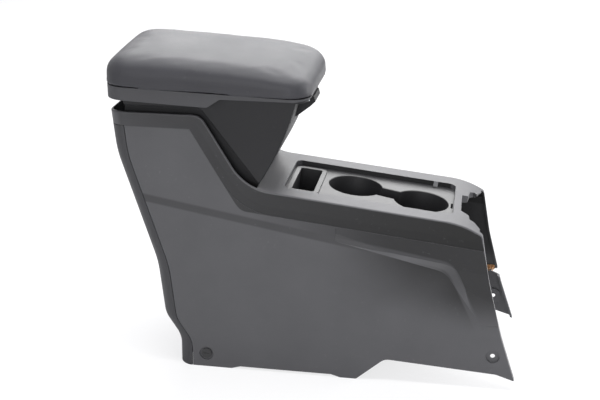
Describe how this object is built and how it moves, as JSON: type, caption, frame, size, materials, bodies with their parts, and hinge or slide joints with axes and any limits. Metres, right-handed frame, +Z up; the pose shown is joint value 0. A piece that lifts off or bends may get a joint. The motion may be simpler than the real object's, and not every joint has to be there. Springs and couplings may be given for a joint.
{
  "type": "car center console",
  "caption": "Moulded floor console with a hinged padded armrest over a deep bin, a small pocket and two staggered cup wells.",
  "frame": {"origin": "middle of the console's length and width, on the plane it stands on", "axes": "+X to the front of the console, +Z up, Y = 0 is the middle plane"},
  "size_m": [0.611, 0.22, 0.4793],
  "materials": {
    "body_grey": "fine grain",
    "insert_black": "fine grain",
    "box_grey": "fine grain",
    "fixing_black": "satin",
    "mat_rubber": "matte",
    "zinc_steel": "zinc plated",
    "cushion_skin": "fine grain",
    "clip_tan": "satin"
  },
  "bodies": {
    "console": {"console_body": "body_grey", "rear_panel": "body_grey", "cup_holder_insert": "insert_black", "pocket_bin": "insert_black", "pocket_mat": "mat_rubber", "cup_mats": "mat_rubber", "storage_box": "box_grey", "storage_mat": "mat_rubber", "hinge_bracket": "zinc_steel", "hinge_pin": "zinc_steel", "latch_striker": "zinc_steel", "panel_clips": "zinc_steel", "floor_retainers": "fixing_black", "harness_clip": "clip_tan", "insert_screws": "zinc_steel", "box_screws": "zinc_steel", "hinge_screws": "zinc_steel"},
    "lid": {"lid_cushion": "cushion_skin", "lid_shell": "box_grey", "lid_inner_panel": "box_grey", "hinge_leaf": "zinc_steel", "lid_bumpers": "mat_rubber", "lid_screws": "zinc_steel", "latch_pin": "zinc_steel", "latch_spring": "zinc_steel"},
    "latch": {"latch_lever": "box_grey"}
  },
  "joints": [
    {"name": "lid_hinge", "type": "hinge", "parent": "console", "child": "lid", "pos_m": [-0.2925, 0, 0.407], "axis": [0, -1, 0], "range_deg": [0, 80]},
    {"name": "latch_turn", "type": "hinge", "parent": "lid", "child": "latch", "pos_m": [-0.0135, 0, 0.407], "axis": [0, -1, 0], "range_deg": [0, 18], "stiffness_Nm_per_rad": 0.15, "springref_deg": -14.32}
  ]
}
